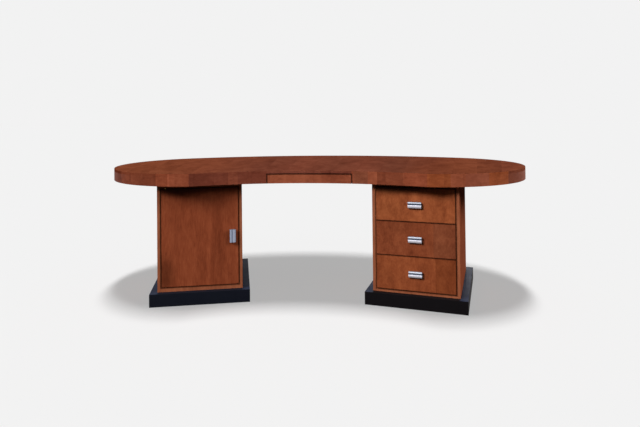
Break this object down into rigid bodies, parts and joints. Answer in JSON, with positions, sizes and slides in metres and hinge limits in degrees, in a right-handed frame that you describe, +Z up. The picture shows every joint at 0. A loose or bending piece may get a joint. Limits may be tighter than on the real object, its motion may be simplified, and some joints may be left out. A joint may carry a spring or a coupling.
{
  "type": "captain's desk",
  "caption": "Kidney-shaped writing desk: a thick hollow top with a pencil drawer, on two splayed pedestals, one with a door and one with drawers, on black plinths.",
  "frame": {"origin": "centre of the desk's outline on the floor", "axes": "+X to the sitter's right, +Y away from the sitter, +Z up"},
  "size_m": [2.64, 1.3199, 0.76],
  "materials": {
    "top_veneer": "satin figured veneer in radial leaves, red-brown",
    "edge_veneer": "satin veneer, grain upright, red-brown",
    "cabinet_veneer": "satin veneer, grain upright",
    "front_veneer": "satin veneer, grain upright",
    "solid_lipping": "satin solid wood, a little lighter",
    "inner_wood": "plain beech, matt",
    "underside_ply": "plain plywood, matt",
    "drawer_wood": "plain oak, waxed",
    "drawer_ply": "plain plywood, waxed",
    "black_lacquer": "black satin lacquer on wood",
    "handle_metal": "satin nickel",
    "steel": "zinc-plated steel",
    "brass": "plain brass"
  },
  "bodies": {
    "root": {"top_board": "top_veneer", "top_underside": "underside_ply", "back_apron": "edge_veneer", "left_end_apron": "edge_veneer", "right_end_apron": "edge_veneer", "left_front_apron": "edge_veneer", "right_front_apron": "edge_veneer", "top_ribs": "inner_wood", "pencil_rails": "inner_wood", "pencil_back_rail": "inner_wood", "left_plinth": "black_lacquer", "left_cabinet_left_side": "cabinet_veneer", "left_cabinet_right_side": "cabinet_veneer", "left_cabinet_floor": "inner_wood", "left_cabinet_ceiling": "inner_wood", "left_cabinet_back": "cabinet_veneer", "left_cabinet_lipping": "solid_lipping", "cupboard_shelf": "cabinet_veneer", "shelf_pins": "brass", "door_pivots": "brass", "door_catch": "steel", "right_plinth": "black_lacquer", "right_cabinet_left_side": "cabinet_veneer", "right_cabinet_right_side": "cabinet_veneer", "right_cabinet_floor": "inner_wood", "right_cabinet_ceiling": "inner_wood", "right_cabinet_back": "cabinet_veneer", "right_cabinet_lipping": "solid_lipping", "drawer_runners": "inner_wood"},
    "door": {"door": "front_veneer", "door_bushes": "brass", "catch_plate": "steel", "door_handle": "handle_metal"},
    "pencil_drawer": {"pencil_drawer_front": "edge_veneer", "pencil_drawer_sides": "drawer_wood", "pencil_drawer_back": "drawer_wood", "pencil_drawer_bottom": "drawer_ply"},
    "bottom_drawer": {"bottom_drawer_front": "front_veneer", "bottom_drawer_sides": "drawer_wood", "bottom_drawer_back": "drawer_wood", "bottom_drawer_bottom": "drawer_ply", "bottom_drawer_handle": "handle_metal"},
    "middle_drawer": {"middle_drawer_front": "front_veneer", "middle_drawer_sides": "drawer_wood", "middle_drawer_back": "drawer_wood", "middle_drawer_bottom": "drawer_ply", "middle_drawer_handle": "handle_metal"},
    "top_drawer": {"top_drawer_front": "front_veneer", "top_drawer_sides": "drawer_wood", "top_drawer_back": "drawer_wood", "top_drawer_bottom": "drawer_ply", "top_drawer_handle": "handle_metal"}
  },
  "joints": [
    {"name": "door_hinge", "type": "hinge", "parent": "root", "child": "door", "pos_m": [-0.83103, -0.59447, 0.098], "axis": [0, 0, -1], "range_deg": [0, 105]},
    {"name": "pencil_drawer_slide", "type": "slide", "parent": "root", "child": "pencil_drawer", "axis": [0, -1, 0], "range_m": [0, 0.3]},
    {"name": "bottom_drawer_slide", "type": "slide", "parent": "root", "child": "bottom_drawer", "axis": [-0.2334, -0.9724, 0], "range_m": [0, 0.4]},
    {"name": "middle_drawer_slide", "type": "slide", "parent": "root", "child": "middle_drawer", "axis": [-0.2334, -0.9724, 0], "range_m": [0, 0.4]},
    {"name": "top_drawer_slide", "type": "slide", "parent": "root", "child": "top_drawer", "axis": [-0.2334, -0.9724, 0], "range_m": [0, 0.4]}
  ]
}
